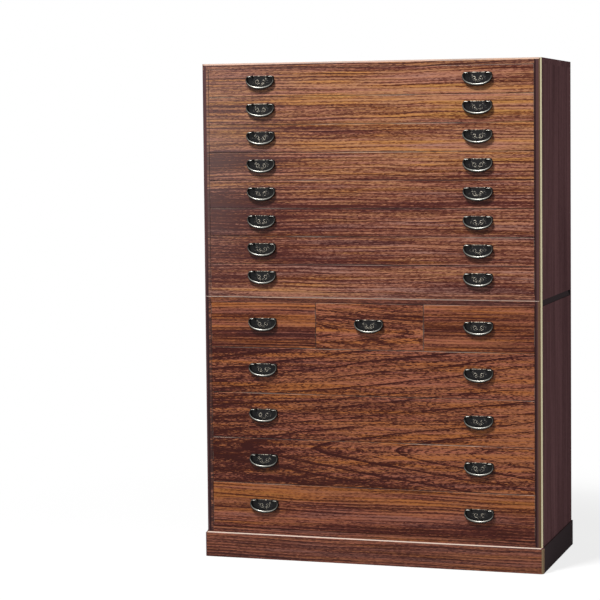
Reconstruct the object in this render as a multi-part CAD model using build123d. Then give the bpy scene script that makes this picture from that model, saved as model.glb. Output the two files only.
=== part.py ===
from build123d import *
from math import cos, radians, sin
import os

# A stacked clothing chest of paulownia boards: a plinth, a lower case with three small and four deep
# drawers, and an upper case with eight shallow drawers. X runs to the right as the chest is faced,
# Y to the back and Z up. The origin is on the floor under the middle of the whole chest.

# ---------------------------------------------------------------- driving dimensions, millimetres

# Cases
CASE_WIDTH = 1000.0         # outside width of both cases
CASE_DEPTH = 445.0          # from the faces of the drawer fronts to the back
SIDE_THICKNESS = 20.0       # side panels
HOUSING = 6.0               # how far boards enter the side panels
HOUSING_STOP = 12.0         # how far behind the front a visible board's housing starts
SHELF_THICKNESS = 7.0       # boards that carry the drawers
SHELF_SETBACK = 0.5         # from the back of the drawer fronts to the shelf boards
BACK_THICKNESS = 5.0        # back panels
BACK_INSET = 6.0            # from the back edges of the sides to the back panels
CORNER_CHAMFER = 7.0        # pale arris down the front corners of both cases

# Upper case
UPPER_ROWS = 8
UPPER_PITCH = 80.5          # height of one row of drawers
UPPER_TOP = 17.0            # top board, which lies over the side panels
UPPER_BOTTOM = 14.0
TOP_CHAMFER = 4.5           # pale arris along the front of the top board
TONGUE_THICKNESS = 8.0      # tongue on each side panel, let into the top board
TONGUE_HEIGHT = 6.0

# Lower case
DEEP_ROWS = 4
LOWER_PITCH = 132.8
LOWER_TOP = 16.0            # top board, between the side panels
LOWER_BOTTOM = 15.0
LOWER_TOP_CHAMFER = 2.5
SMALL_DRAWERS = 3
DIVIDER_THICKNESS = 7.0     # uprights between the small drawers
DIVIDER_HOUSING = 2.5       # how far they enter the boards above and below
RECESS_HEIGHT = 17.0        # finger recess along the top of each lower side panel
RECESS_TOP_DEPTH = 9.0
RECESS_LOW_DEPTH = 2.5
RECESS_FRONT = 8.0          # where it starts, behind the front
RECESS_BACK = 10.0          # where it stops, before the back

# Pegs between the cases
PEG_SIZE = 16.0
PEG_DEPTH = 10.0            # glued into the lower case
PEG_RISE = 8.0              # free in the upper case
PEG_CLEARANCE = 0.5
PEG_FROM_SIDE = 60.0        # peg centre from the outside of the case
PEG_FROM_EDGE = 70.0        # peg centre from the front, and from the back

# Plinth
PLINTH_HEIGHT = 73.0
PLINTH_RAIL = 20.0          # thickness of its rails
PLINTH_FRONT_LIP = 8.0      # how far it stands out from the case
PLINTH_SIDE_LIP = 4.0
PLINTH_CORNER = 8.0         # radius of its two front corners
PLINTH_CHAMFER = 4.0        # along the top of the front rail
RAIL_TENON = 6.0            # stub tenons between the rails
BLOCK_LEG = 45.0            # glue blocks in the corners
BLOCK_HEIGHT = 50.0

# Drawers
FRONT_THICKNESS = 20.0
FRONT_GAP = 1.5             # between neighbouring fronts
FRONT_SIDE_GAP = 1.0        # between a front and a side panel
FRONT_ARRIS = 0.8           # broken edges of the fronts
WALL_THICKNESS = 9.0        # drawer sides and backs
BOTTOM_THICKNESS = 6.0
FRONT_HOUSING = 8.0         # how far the sides and bottom enter the front
RUN_GAP = 0.3               # under a drawer
SLIDE_GAP = 0.8             # beside a drawer box
HEAD_GAP = 2.2              # over a drawer box
REAR_GAP = 6.0              # behind a drawer box

# Handles
HANDLE_INSET = 160.0        # handle centre from the inside of the case
BAIL_WIDTH = 86.0
BAIL_DROP = 26.5            # from the widest point of the bail to its lowest
BAIL_RISE = 12.0            # from the widest point to the top of the arms
BAIL_TURN = 8.0             # how far in from the widest point the arms run level
ARM_THICKNESS = 4.0         # across the bail at its arms
GRIP_THICKNESS = 7.5        # across the bail at its lowest point
BAIL_DEPTH = 7.0            # front to back
GRIP_FACETS = 14            # forged facets round the grip, and round each turn
TURN_FACETS = 3
PIN_RADIUS = 1.5            # over the corners of the forged pins
PIN_SIDES = 8
PIN_CLEARANCE = 0.1
END_PLAY = 0.3              # between an arm's end and its post
POST_SPACING = 48.0         # between the centres of the two posts
POST_WIDTH = 4.0
POST_WALL = 1.6
POST_CHAMFER = 1.2
PIVOT_STANDOFF = 6.5        # from the drawer front to the pivot
PLATE_THICKNESS = 1.6
PLATE_WIDTH = 84.0
PLATE_TOP = 2.5             # from the pivot up to the top of the plate
PLATE_CORNER = 6.5          # clipped upper corners
PLATE_LOWER = 1.5           # how far the plate's lower edge stays above the bail's

# ---------------------------------------------------------------- places that follow from them

post_reach = PIVOT_STANDOFF + PIN_RADIUS + PIN_CLEARANCE + POST_WALL
bail_reach = PIVOT_STANDOFF + BAIL_DEPTH / 2
front_y = (max(post_reach, bail_reach, PLINTH_FRONT_LIP) - CASE_DEPTH) / 2
back_y = front_y + CASE_DEPTH
panel_y = (back_y - BACK_INSET - BACK_THICKNESS, back_y - BACK_INSET)
front_back_y = front_y + FRONT_THICKNESS
shelf_y = (front_back_y + SHELF_SETBACK, panel_y[0])
outer_x = CASE_WIDTH / 2
inner_x = outer_x - SIDE_THICKNESS

lower_z = PLINTH_HEIGHT
lower_rows_z = lower_z + LOWER_BOTTOM
lower_rows = DEEP_ROWS + 1
lower_rows_top = lower_rows_z + lower_rows * LOWER_PITCH
upper_z = lower_rows_top + LOWER_TOP
upper_rows_z = upper_z + UPPER_BOTTOM
upper_rows_top = upper_rows_z + UPPER_ROWS * UPPER_PITCH
top_z = upper_rows_top + UPPER_TOP

lower_shelf_tops = [lower_rows_z + row * LOWER_PITCH for row in range(1, lower_rows)]
upper_shelf_tops = [upper_rows_z + row * UPPER_PITCH for row in range(1, UPPER_ROWS)]
small_width = 2 * inner_x / SMALL_DRAWERS
divider_xs = [-inner_x + place * small_width for place in range(1, SMALL_DRAWERS)]
peg_xs = (PEG_FROM_SIDE - outer_x, outer_x - PEG_FROM_SIDE)
peg_ys = (front_y + PEG_FROM_EDGE, back_y - PEG_FROM_EDGE)

# ---------------------------------------------------------------- shared shapes


def block(x, y, z):
    """A board that fills a span on each axis."""
    sizes = [high - low for low, high in (x, y, z)]
    middles = [(low + high) / 2 for low, high in (x, y, z)]
    return Pos(*middles) * Box(*sizes)


def mirrored(solid):
    """The same piece for the left of the chest."""
    return mirror(solid, about=Plane.YZ)


def corner_edge(solid):
    """The upright edge of a right-hand board at its front outer corner."""
    return solid.edges().filter_by(Axis.Z).sort_by(lambda edge: edge.center().X - edge.center().Y)[-1]


def housed_board(z, has_stop):
    """A board between the side panels with a tongue at each end, to the front or behind the drawer fronts."""
    near = front_y if has_stop else shelf_y[0]
    tongue = front_y + HOUSING_STOP if has_stop else shelf_y[0]
    body = block((-inner_x, inner_x), (near, panel_y[0]), z)
    return body + block((-inner_x - HOUSING, inner_x + HOUSING), (tongue, panel_y[0]), z)


def shelf(top):
    """A shelf board whose upper face carries a row of drawers."""
    return housed_board((top - SHELF_THICKNESS, top), False)


def panel_with_housings(z, boards, shelf_tops):
    """A right side panel, with housings for its boards and shelves and a groove for the back panel."""
    panel = block((inner_x, outer_x), (front_y, back_y), z)
    panel = chamfer(corner_edge(panel), CORNER_CHAMFER)
    for board in boards:
        panel -= block((inner_x, inner_x + HOUSING), (front_y + HOUSING_STOP, panel_y[0]), board)
    for top in shelf_tops:
        panel -= block((inner_x, inner_x + HOUSING), shelf_y, (top - SHELF_THICKNESS, top))
    return panel - block((inner_x, inner_x + HOUSING), panel_y, z)


def pegs(z, size):
    """The four places of the locating pegs, filled over one span of height."""
    half = size / 2
    return [block((x - half, x + half), (y - half, y + half), z) for x in peg_xs for y in peg_ys]


# ---------------------------------------------------------------- plinth


def plinth_front():
    """The front rail, with rounded ends, a broken top edge and a glue block behind each end."""
    half = outer_x + PLINTH_SIDE_LIP
    near = front_y - PLINTH_FRONT_LIP
    rail = block((-half, half), (near, near + PLINTH_RAIL), (0, PLINTH_HEIGHT))
    rail = fillet(rail.edges().filter_by(Axis.Z).group_by(Axis.Y)[0], PLINTH_CORNER)
    top_edges = rail.faces().sort_by(Axis.Z)[-1].edges()
    rail = chamfer([edge for edge in top_edges if edge.center().Y < near + PLINTH_CORNER], PLINTH_CHAMFER)
    rail -= side_tenon(half, near + PLINTH_RAIL)
    rail -= mirrored(side_tenon(half, near + PLINTH_RAIL))
    blocks = glue_block(half - PLINTH_RAIL, near + PLINTH_RAIL, 1)
    return [rail, blocks, mirrored(blocks)]


def side_tenon(half, joint_y):
    """The stub tenon of the right rail, in the front rail."""
    third = PLINTH_RAIL / 3
    return block((half - 2 * third, half - third), (joint_y - RAIL_TENON, joint_y), (0, PLINTH_HEIGHT))


def plinth_right():
    """The right rail, with a stub tenon into the front rail and a housing for the back rail."""
    half = outer_x + PLINTH_SIDE_LIP
    joint_y = front_y - PLINTH_FRONT_LIP + PLINTH_RAIL
    rail = block((half - PLINTH_RAIL, half), (joint_y, back_y), (0, PLINTH_HEIGHT))
    rail += side_tenon(half, joint_y)
    face = half - PLINTH_RAIL
    return rail - block((face, face + RAIL_TENON), (back_y - PLINTH_RAIL, back_y), (0, PLINTH_HEIGHT))


def plinth_back():
    """The back rail, housed in the side rails, with a glue block in front of each end."""
    half = outer_x + PLINTH_SIDE_LIP - PLINTH_RAIL + RAIL_TENON
    rail = block((-half, half), (back_y - PLINTH_RAIL, back_y), (0, PLINTH_HEIGHT))
    blocks = glue_block(half - RAIL_TENON, back_y - PLINTH_RAIL, -1)
    return [rail, blocks, mirrored(blocks)]


def glue_block(corner_x, corner_y, direction):
    """A three-cornered block in the right-hand corner of the frame, under the case."""
    points = [
        (corner_x, corner_y, PLINTH_HEIGHT - BLOCK_HEIGHT),
        (corner_x - BLOCK_LEG, corner_y, PLINTH_HEIGHT - BLOCK_HEIGHT),
        (corner_x, corner_y + direction * BLOCK_LEG, PLINTH_HEIGHT - BLOCK_HEIGHT),
    ]
    return extrude(make_face(Polyline(*points, close=True)), amount=BLOCK_HEIGHT, dir=(0, 0, 1))


# ---------------------------------------------------------------- lower case


def foremost_top_edge(board):
    """The front edge of a board's upper face."""
    return board.edges().filter_by(Axis.X).sort_by(lambda edge: edge.center().Z - edge.center().Y)[-1]


def lower_side():
    """The right side of the lower case, with a finger recess that stops short of the front and the back."""
    boards = [(lower_z, lower_rows_z), (lower_rows_top, upper_z)]
    panel = panel_with_housings((lower_z, upper_z), boards, lower_shelf_tops)
    panel = chamfer(foremost_top_edge(panel), LOWER_TOP_CHAMFER)
    near = front_y + RECESS_FRONT
    low = upper_z - RECESS_HEIGHT
    outline = [
        (outer_x, near, upper_z),
        (outer_x - RECESS_TOP_DEPTH, near, upper_z),
        (outer_x - RECESS_LOW_DEPTH, near, low),
        (outer_x, near, low),
    ]
    face = make_face(Polyline(*outline, close=True))
    return panel - extrude(face, amount=back_y - RECESS_BACK - near, dir=(0, 1, 0))


def lower_top():
    """The top board of the lower case, with mortises for the pegs and housings for the dividers."""
    board = housed_board((lower_rows_top, upper_z), True)
    board = chamfer(foremost_top_edge(board), LOWER_TOP_CHAMFER)
    for peg in pegs((upper_z - PEG_DEPTH, upper_z), PEG_SIZE):
        board -= peg
    for housing in divider_spans(lower_rows_top, lower_rows_top + DIVIDER_HOUSING):
        board -= housing
    return board


def lower_shelves():
    """The four shelf boards; the highest has housings for the dividers."""
    boards = [shelf(top) for top in lower_shelf_tops]
    top = lower_shelf_tops[-1]
    for housing in divider_spans(top - DIVIDER_HOUSING, top):
        boards[-1] -= housing
    return boards


def divider_spans(low, high):
    """The uprights between the small drawers, over one span of height."""
    half = DIVIDER_THICKNESS / 2
    return [block((x - half, x + half), shelf_y, (low, high)) for x in divider_xs]


def dividers():
    """The uprights, let into the shelf below and the top board above."""
    return divider_spans(lower_shelf_tops[-1] - DIVIDER_HOUSING, lower_rows_top + DIVIDER_HOUSING)


# ---------------------------------------------------------------- upper case


def upper_tongue(rise):
    """The tongue on the right side panel, which enters the top board."""
    middle = inner_x + SIDE_THICKNESS / 2
    half = TONGUE_THICKNESS / 2
    span = (front_y + HOUSING_STOP, back_y)
    return block((middle - half, middle + half), span, (upper_rows_top, upper_rows_top + rise))


def upper_side():
    """The right side of the upper case, under the top board."""
    boards = [(upper_z, upper_rows_z)]
    panel = panel_with_housings((upper_z, upper_rows_top), boards, upper_shelf_tops)
    return panel + upper_tongue(TONGUE_HEIGHT)


def upper_top():
    """The top board, over both side panels, with a chamfered front and front corners."""
    board = block((-outer_x, outer_x), (front_y, back_y), (upper_rows_top, top_z))
    board = chamfer(board.edges().filter_by(Axis.Z).group_by(Axis.Y)[0], CORNER_CHAMFER)
    board = chamfer(foremost_top_edge(board), TOP_CHAMFER)
    groove = upper_tongue(TONGUE_HEIGHT)
    return board - groove - mirrored(groove)


def upper_bottom():
    """The bottom board of the upper case, with mortises that drop over the pegs."""
    board = housed_board((upper_z, upper_rows_z), True)
    for peg in pegs((upper_z, upper_z + PEG_RISE + PEG_CLEARANCE), PEG_SIZE + 2 * PEG_CLEARANCE):
        board -= peg
    return board


def back_panel(low, high):
    """A back panel, in the grooves of both side panels."""
    return block((-inner_x - HOUSING, inner_x + HOUSING), panel_y, (low, high))


# ---------------------------------------------------------------- handles


pivot_z = BAIL_RISE - ARM_THICKNESS / 2
handle_middle = (BAIL_RISE - BAIL_DROP) / 2
arm_end = POST_SPACING / 2 + POST_WIDTH / 2 + END_PLAY
pin_length = POST_WIDTH + 2 * END_PLAY


def arc_points(middle, radius_x, radius_z, start, end, facets):
    """Points at even angles along part of an ellipse about a point on the bail's widest line."""
    angles = [radians(start + (end - start) * step / facets) for step in range(facets + 1)]
    return [(middle + radius_x * cos(angle), radius_z * sin(angle)) for angle in angles]


def bail_line(half, rise, drop):
    """One edge of the bail: in at the right arm, round its turn, down under the grip and up to the left arm."""
    turn = BAIL_WIDTH / 2 - BAIL_TURN
    right = arc_points(turn, half - turn, rise, 90, 0, TURN_FACETS)
    grip = arc_points(0, half, drop, 0, -180, GRIP_FACETS)
    left = [(-x, z) for x, z in reversed(right)]
    return [(arm_end, rise), *right, *grip[1:-1], *left, (-arm_end, rise)]


def bail():
    """A crescent bail hanging from its pivot, with a forged pin at the end of each arm, through its post."""
    half = BAIL_WIDTH / 2
    outside = bail_line(half, BAIL_RISE, BAIL_DROP)
    inside = bail_line(half - ARM_THICKNESS, BAIL_RISE - ARM_THICKNESS, BAIL_DROP - GRIP_THICKNESS)
    face = make_face(Polyline(*outside, *reversed(inside), close=True))
    arch = Pos(0, BAIL_DEPTH / 2, 0) * extrude(Plane.XZ * face, amount=BAIL_DEPTH)
    pin = extrude(RegularPolygon(PIN_RADIUS, PIN_SIDES), amount=pin_length)
    pin = Pos(arm_end - pin_length, 0, pivot_z) * Rot(0, 90, 0) * pin
    return Pos(0, -PIVOT_STANDOFF, 0) * (arch + pin + mirrored(pin))


def plate():
    """The backplate: a half-moon with a flat top and clipped corners."""
    half = PLATE_WIDTH / 2
    top = pivot_z + PLATE_TOP
    lower = arc_points(0, half, BAIL_DROP - PLATE_LOWER, 0, -180, GRIP_FACETS)
    right = [(half - PLATE_CORNER, top), (half, top - PLATE_CORNER)]
    left = [(-x, z) for x, z in reversed(right)]
    return extrude(Plane.XZ * make_face(Polyline(*right, *lower, *left, close=True)), amount=PLATE_THICKNESS)


def post(x):
    """A post: a strip folded round the pin, both legs standing on the plate."""
    slot = PIN_RADIUS + PIN_CLEARANCE
    outside = slot + POST_WALL
    span = (x - POST_WIDTH / 2, x + POST_WIDTH / 2)
    strip = block(span, (-post_reach, -PLATE_THICKNESS), (pivot_z - outside, pivot_z + outside))
    strip = chamfer(strip.edges().filter_by(Axis.X).group_by(Axis.Y)[0], POST_CHAMFER)
    inside = block(span, (-PIVOT_STANDOFF - slot, -PLATE_THICKNESS), (pivot_z - slot, pivot_z + slot))
    return strip - inside


def handle_place(x, z):
    """Where a handle's own origin goes, for a handle centred at x and z."""
    return Pos(x, front_y, z - handle_middle)


def fixed_handle(x, z):
    """The plate and the two posts of one handle."""
    place = handle_place(x, z)
    return [place * plate()] + [place * post(side * POST_SPACING / 2) for side in (-1, 1)]


# ---------------------------------------------------------------- drawers


def drawer(front_x, box_x, row_z, pitch, handle_xs):
    """A drawer's five boards, with the fixed parts of its handles."""
    low = row_z + RUN_GAP
    high = row_z + pitch - SHELF_THICKNESS - HEAD_GAP
    floor = low + BOTTOM_THICKNESS
    rear = panel_y[0] - REAR_GAP
    entry = front_back_y - FRONT_HOUSING
    left, right = box_x
    wall = WALL_THICKNESS
    front_z = (row_z + FRONT_GAP / 2, row_z + pitch - FRONT_GAP / 2)
    front = block(front_x, (front_y, front_back_y), front_z)
    front = chamfer(front.faces().sort_by(Axis.Y)[0].edges(), FRONT_ARRIS)
    bottom = block(box_x, (entry, rear), (low, floor))
    sides = [block(span, (entry, rear), (floor, high)) for span in ((left, left + wall), (right - wall, right))]
    back = block((left + wall, right - wall), (rear - wall, rear), (floor, high))
    for piece in (bottom, *sides):
        front -= piece
    solids = [front, bottom, back, *sides]
    for x in handle_xs:
        solids += fixed_handle(x, row_z + pitch / 2)
    return solids


def full_drawer(row_z, pitch):
    """A drawer across the whole case."""
    front_half = inner_x - FRONT_SIDE_GAP
    box_half = inner_x - SLIDE_GAP
    xs = (HANDLE_INSET - inner_x, inner_x - HANDLE_INSET)
    return drawer((-front_half, front_half), (-box_half, box_half), row_z, pitch, xs)


def small_drawer(place):
    """One of the small drawers, counted from the left."""
    left = -inner_x + place * small_width
    right = left + small_width
    front_x = [left + FRONT_GAP / 2, right - FRONT_GAP / 2]
    box_x = [left + DIVIDER_THICKNESS / 2 + SLIDE_GAP, right - DIVIDER_THICKNESS / 2 - SLIDE_GAP]
    if place == 0:
        front_x[0], box_x[0] = left + FRONT_SIDE_GAP, left + SLIDE_GAP
    if place == SMALL_DRAWERS - 1:
        front_x[1], box_x[1] = right - FRONT_SIDE_GAP, right - SLIDE_GAP
    return drawer(front_x, box_x, lower_shelf_tops[-1], LOWER_PITCH, [(left + right) / 2])


# ---------------------------------------------------------------- assembly

nodes = {
    "plinth_front": plinth_front(),
    "plinth_left": [mirrored(plinth_right())],
    "plinth_right": [plinth_right()],
    "plinth_back": plinth_back(),
    "lower_left_side": [mirrored(lower_side())],
    "lower_right_side": [lower_side()],
    "lower_top_board": [lower_top()],
    "lower_bottom_board": [housed_board((lower_z, lower_rows_z), True)],
    "lower_back_panel": [back_panel(lower_z, upper_z)],
    "lower_shelf_boards": lower_shelves(),
    "small_drawer_dividers": dividers(),
    "locating_pegs": pegs((upper_z - PEG_DEPTH, upper_z + PEG_RISE), PEG_SIZE),
    "upper_left_side": [mirrored(upper_side())],
    "upper_right_side": [upper_side()],
    "upper_top_board": [upper_top()],
    "upper_bottom_board": [upper_bottom()],
    "upper_back_panel": [back_panel(upper_z, upper_rows_top)],
    "upper_shelf_boards": [shelf(top) for top in upper_shelf_tops],
}


def add_bail(name, x, row_z, pitch):
    """A bail in a node of its own."""
    nodes[name] = [handle_place(x, row_z + pitch / 2) * bail()]


def add_full_drawer(name, row_z, pitch):
    """A full-width drawer and its two bails."""
    nodes[name] = full_drawer(row_z, pitch)
    add_bail(name + "_bail_left", HANDLE_INSET - inner_x, row_z, pitch)
    add_bail(name + "_bail_right", inner_x - HANDLE_INSET, row_z, pitch)


for number in range(1, UPPER_ROWS + 1):
    add_full_drawer(f"upper_drawer_{number}", upper_rows_top - number * UPPER_PITCH, UPPER_PITCH)
for place in range(SMALL_DRAWERS):
    small_name = f"small_drawer_{place + 1}"
    nodes[small_name] = small_drawer(place)
    add_bail(small_name + "_bail", -inner_x + (place + 0.5) * small_width, lower_shelf_tops[-1], LOWER_PITCH)
for number in range(1, DEEP_ROWS + 1):
    add_full_drawer(f"lower_drawer_{number}", lower_shelf_tops[-1] - number * LOWER_PITCH, LOWER_PITCH)

os.makedirs("parts", exist_ok=True)
for name, solids in nodes.items():
    piece = Compound(label=name, children=solids) if len(solids) > 1 else solids[0]
    export_step(piece, f"parts/{name}.step")
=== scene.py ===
from math import radians

import bpy
import numpy as np
from bpy.props import FloatProperty, FloatVectorProperty, PointerProperty
from bpy.types import Operator, Panel, PropertyGroup
from mathutils import Euler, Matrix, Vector


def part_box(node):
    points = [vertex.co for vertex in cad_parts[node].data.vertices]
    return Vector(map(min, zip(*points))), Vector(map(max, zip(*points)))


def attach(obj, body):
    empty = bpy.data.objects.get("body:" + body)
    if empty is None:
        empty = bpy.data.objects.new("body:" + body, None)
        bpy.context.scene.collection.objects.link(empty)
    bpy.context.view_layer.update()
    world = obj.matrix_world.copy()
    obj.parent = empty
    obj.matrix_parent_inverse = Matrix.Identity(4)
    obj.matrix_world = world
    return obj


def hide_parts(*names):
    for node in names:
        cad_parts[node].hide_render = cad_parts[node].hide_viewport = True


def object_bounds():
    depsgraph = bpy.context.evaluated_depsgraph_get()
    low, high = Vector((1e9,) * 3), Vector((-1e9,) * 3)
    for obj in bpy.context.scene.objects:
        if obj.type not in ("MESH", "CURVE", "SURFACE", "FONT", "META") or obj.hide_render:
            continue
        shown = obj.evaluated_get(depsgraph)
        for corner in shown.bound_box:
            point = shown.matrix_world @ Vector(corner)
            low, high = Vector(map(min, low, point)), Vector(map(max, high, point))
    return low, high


bl_info = {
    "name": "Clothing Chest",
    "version": (1, 0, 0),
    "blender": (4, 5, 0),
    "location": "3D View > Sidebar > Chest",
    "description": "Cast handles, stained and plain wood finishes and a stage for a stacked clothing chest",
    "category": "Add Mesh",
}

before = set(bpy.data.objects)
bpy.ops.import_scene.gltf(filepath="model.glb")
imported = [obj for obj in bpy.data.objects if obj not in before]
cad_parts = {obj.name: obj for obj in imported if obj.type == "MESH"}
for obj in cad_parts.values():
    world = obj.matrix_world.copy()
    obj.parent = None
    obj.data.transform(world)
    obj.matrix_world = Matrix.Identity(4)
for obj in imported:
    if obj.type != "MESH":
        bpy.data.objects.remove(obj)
CAD_BOX = [list(corner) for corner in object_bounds()]
MM = 0.001

# ---- places read from the frame, metres

BAILS = sorted(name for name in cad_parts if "bail" in name)
UPPER_DRAWERS, SMALL_DRAWERS, LOWER_DRAWERS = (
    sorted(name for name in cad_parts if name.startswith(row) and name[-1].isdigit())
    for row in ("upper_drawer_", "small_drawer_", "lower_drawer_")
)

FRONT_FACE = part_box("upper_right_side")[0].y        # plane of the drawer fronts and the cases
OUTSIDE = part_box("upper_right_side")[1].x           # outer face of the right side panel
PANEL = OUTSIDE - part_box("upper_right_side")[0].x   # thickness of the side panels
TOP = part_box("upper_top_board")[1].z
CASE_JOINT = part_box("lower_top_board")[1].z         # between the two cases
PLINTH_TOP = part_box("plinth_front")[1].z
PLINTH_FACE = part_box("plinth_front")[0].y
PLINTH_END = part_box("plinth_front")[1].x
FOREMOST = CAD_BOX[0][1]

# ---- edges that the frame doesn't list, metres

TOP_BEVEL = 4.5 * MM        # along the front of the top board
JOINT_BEVEL = 2.5 * MM      # along the top of the lower case
PLINTH_BEVEL = 4 * MM       # along the top of the front rail
CORNER_BEVEL = 7 * MM       # down the front corners of both cases
DRAWER_BEVEL = 0.7 * MM     # round each drawer front
ROOM = 0.125 * MM           # room about a bevel, so that the whole of it takes one colour
RECESS_DEPTH = 9.5 * MM     # finger recess along the top of each lower side panel
RECESS_HEIGHT = 17.2 * MM
RECESS_START = 7.6 * MM     # behind the front
STAIN_DEPTH = PANEL - 0.4 * MM      # how far back the fronts' stain reaches
HAIR = 0.1 * MM             # width of a sharp step from one colour to the next


# ---- sizes and colours a user would change


def size(name, description, default):
    return FloatProperty(
        name=name, description=description, default=default, min=0, unit="LENGTH", precision=4
    )


def share(name, description, default):
    return FloatProperty(name=name, description=description, default=default, min=0, max=1)


def amount(name, description, default):
    return FloatProperty(name=name, description=description, default=default)


def point(name, description, *default):
    return FloatVectorProperty(name=name, description=description, default=default, subtype="XYZ")


def colour(name, description, *display):
    """A colour from its display parts, 0 to 255, held as the linear parts that light is worked out with.

    The display curve is a straight line near black, and above it a power of 2.4 with a small offset.
    """
    parts = np.array(display) / 255
    linear = np.where(parts <= 0.04045, parts / 12.92, ((parts + 0.055) / 1.055) ** 2.4).tolist()
    return FloatVectorProperty(
        name=name, description=description, default=linear, size=3, min=0, max=1, subtype="COLOR"
    )


class ChestHandles(PropertyGroup):
    """Sizes of the cast handles, which hang on pins between two posts."""

    bail_width: size("Bail width", "Across the widest line of the bail", 86 * MM)
    bail_rise: size("Bail rise", "From the widest line up to the top of the arms", 12 * MM)
    bail_turn: size("Bail turn", "How far in from the widest line the arms run level", 8 * MM)
    bail_drop: size("Bail drop", "From the widest line down to the lowest point", 26.5 * MM)
    arm: size("Arm", "Across the bail at its arms", 4 * MM)
    grip: size("Grip", "Across the bail at its lowest point", 7.5 * MM)
    bail_depth: size("Bail depth", "Front to back", 7 * MM)
    standoff: size("Standoff", "From the drawer front to the axis of the pins", 6.5 * MM)
    pin: size("Pin", "Radius of the pins", 1.5 * MM)
    post_spacing: size("Post spacing", "Between the centres of the two posts", 48 * MM)
    cap_width: size("Cap width", "Half the width of the cap on a post", 2.1 * MM)
    cap_height: size("Cap height", "Half the height of the cap on a post", 3.6 * MM)
    collar: size("Collar", "How far the collar under a post stands out from it", 0.5 * MM)
    plate_width: size("Plate width", "Across the half-moon backplate", 84.4 * MM)
    plate_top: size("Plate top", "From the pins up to the plate's straight edge", 2.7 * MM)
    plate_corner: size("Plate corner", "Size of the plate's turned upper corners", 6.5 * MM)
    plate_drop: size("Plate drop", "From the widest line down to the plate's lowest point", 25.3 * MM)
    plate_ground: size("Plate ground", "Thickness of the plate under its ornament", 1.75 * MM)
    relief: size("Relief", "Height of the scrolls over the ground", 1.0 * MM)
    rim: size("Rim", "Width of the bead round the plate", 1.3 * MM)


class ChestFinishes(PropertyGroup):
    """Colours of the finishes, and of the painted highlights, sheen and shade laid over them."""

    upper_light: colour("Upper stain, light", "Pale streaks of the upper case", 174, 125, 92)
    upper_middle: colour("Upper stain, middle", "Body of the upper case", 113, 66, 47)
    upper_dark: colour("Upper stain, dark", "Growth lines of the upper case", 66, 26, 20)
    lower_light: colour("Lower stain, light", "Pale streaks of the lower case and plinth", 162, 103, 72)
    lower_middle: colour("Lower stain, middle", "Body of the lower case and plinth", 86, 42, 30)
    lower_dark: colour("Lower stain, dark", "Growth lines of the lower case and plinth", 52, 15, 10)
    side_light: colour("Sides, light", "Body of the dark stain on the sides", 112, 80, 82)
    side_dark: colour("Sides, dark", "Growth lines of the dark stain on the sides", 78, 54, 56)
    edge: colour("Front edges", "Stain of the side panels' front edges", 87, 61, 61)
    # Painted shade: the darker line along the front edges, in the gap beside the drawers on the right and
    # along the outside on the left.
    edge_shade: colour("Front edges, dark", "Darker line along those edges", 58, 39, 40)
    # Painted sheen: a grey laid where a lamp's reflection would dull the stain.
    painted_sheen: colour("Bloom", "Grey that dulls the stain in places", 140, 132, 130)
    # Painted shade: near-black laid in the finger recesses and on the plinth's sides, where shade falls.
    shadow: colour("Shadow", "Near-black stain of the finger recesses and the plinth's sides", 66, 57, 59)
    plain_light: colour("Plain wood, light", "Bare wood inside", 222, 196, 160)
    plain_dark: colour("Plain wood, dark", "Growth lines of the bare wood", 190, 156, 116)
    # Painted highlight down the right-hand front corner: pale on its outer half, dim olive on its inner
    # half. The left-hand corner has none.
    arris_highlight: colour("Arris", "Pale outer half of the right-hand arris", 234, 224, 186)
    arris_dim_highlight: colour("Arris, inner half", "Olive inner half of the right-hand arris", 120, 92, 66)
    # Pale edges: on the drawer bevels part wear and part painted highlight, on the top, the joint and the
    # plinth painted highlight.
    rubbed_and_highlit: colour("Rubbed edges", "Broken top edges of the cases and the plinth", 204, 184, 170)
    # Bright metal of the bails, laid part as wear and part as painted highlight along the side that faces
    # up.
    silver: colour("Bail", "Worn white metal of the bails", 122, 121, 115)
    patina: colour("Patina", "Dark patina of the bails", 30, 28, 28)
    black: colour("Plate", "Blackened ground of the plates", 14, 13, 14)
    gilt: colour("Gilding", "What is left of the gilding on the scrolls", 204, 194, 176)


class ChestStage(PropertyGroup):
    """Camera, lamps and floor."""

    camera_place: point("Camera place", "Where the camera stands", 1.637, -5.953, 1.235)
    camera_turn: point("Camera turn", "Tilt, roll and heading, in degrees", -3.388, 0.549, 17.681)
    lens: amount("Lens", "Focal length in millimetres on a 36 mm sensor", 125.7)
    shift: FloatVectorProperty(
        name="Shift", description="Shift of the lens sideways and up", default=(-0.0057, -0.0687), size=2
    )
    key_place: point("Key place", "Where the high lamp stands", -1.4, -3.4, 6.3)
    key: amount("Key", "Power of the high lamp, in watts", 590)
    key_size: size("Key size", "Width of the high lamp", 1.2)
    fill_place: point("Fill place", "Where the broad lamp stands", -3.0, -5.8, 1.95)
    fill: amount("Fill", "Power of the broad lamp, in watts", 17)
    fill_size: size("Fill size", "Width of the broad lamp", 1.6)
    side_place: point("Side place", "Where the lamp on the right stands", 4.6, -0.9, 1.7)
    side: amount("Side", "Power of the lamp on the right, in watts", 64)
    side_size: size("Side size", "Width of the lamp on the right", 1.6)
    ambient: share("Ambient", "Even light from all round", 0.08)
    floor_size: size("Floor", "Width of the floor", 60)
    floor_white: share("Floor, white", "How far the floor by the chest is already white to the eye", 0.8)


# ---- node maths


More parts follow.
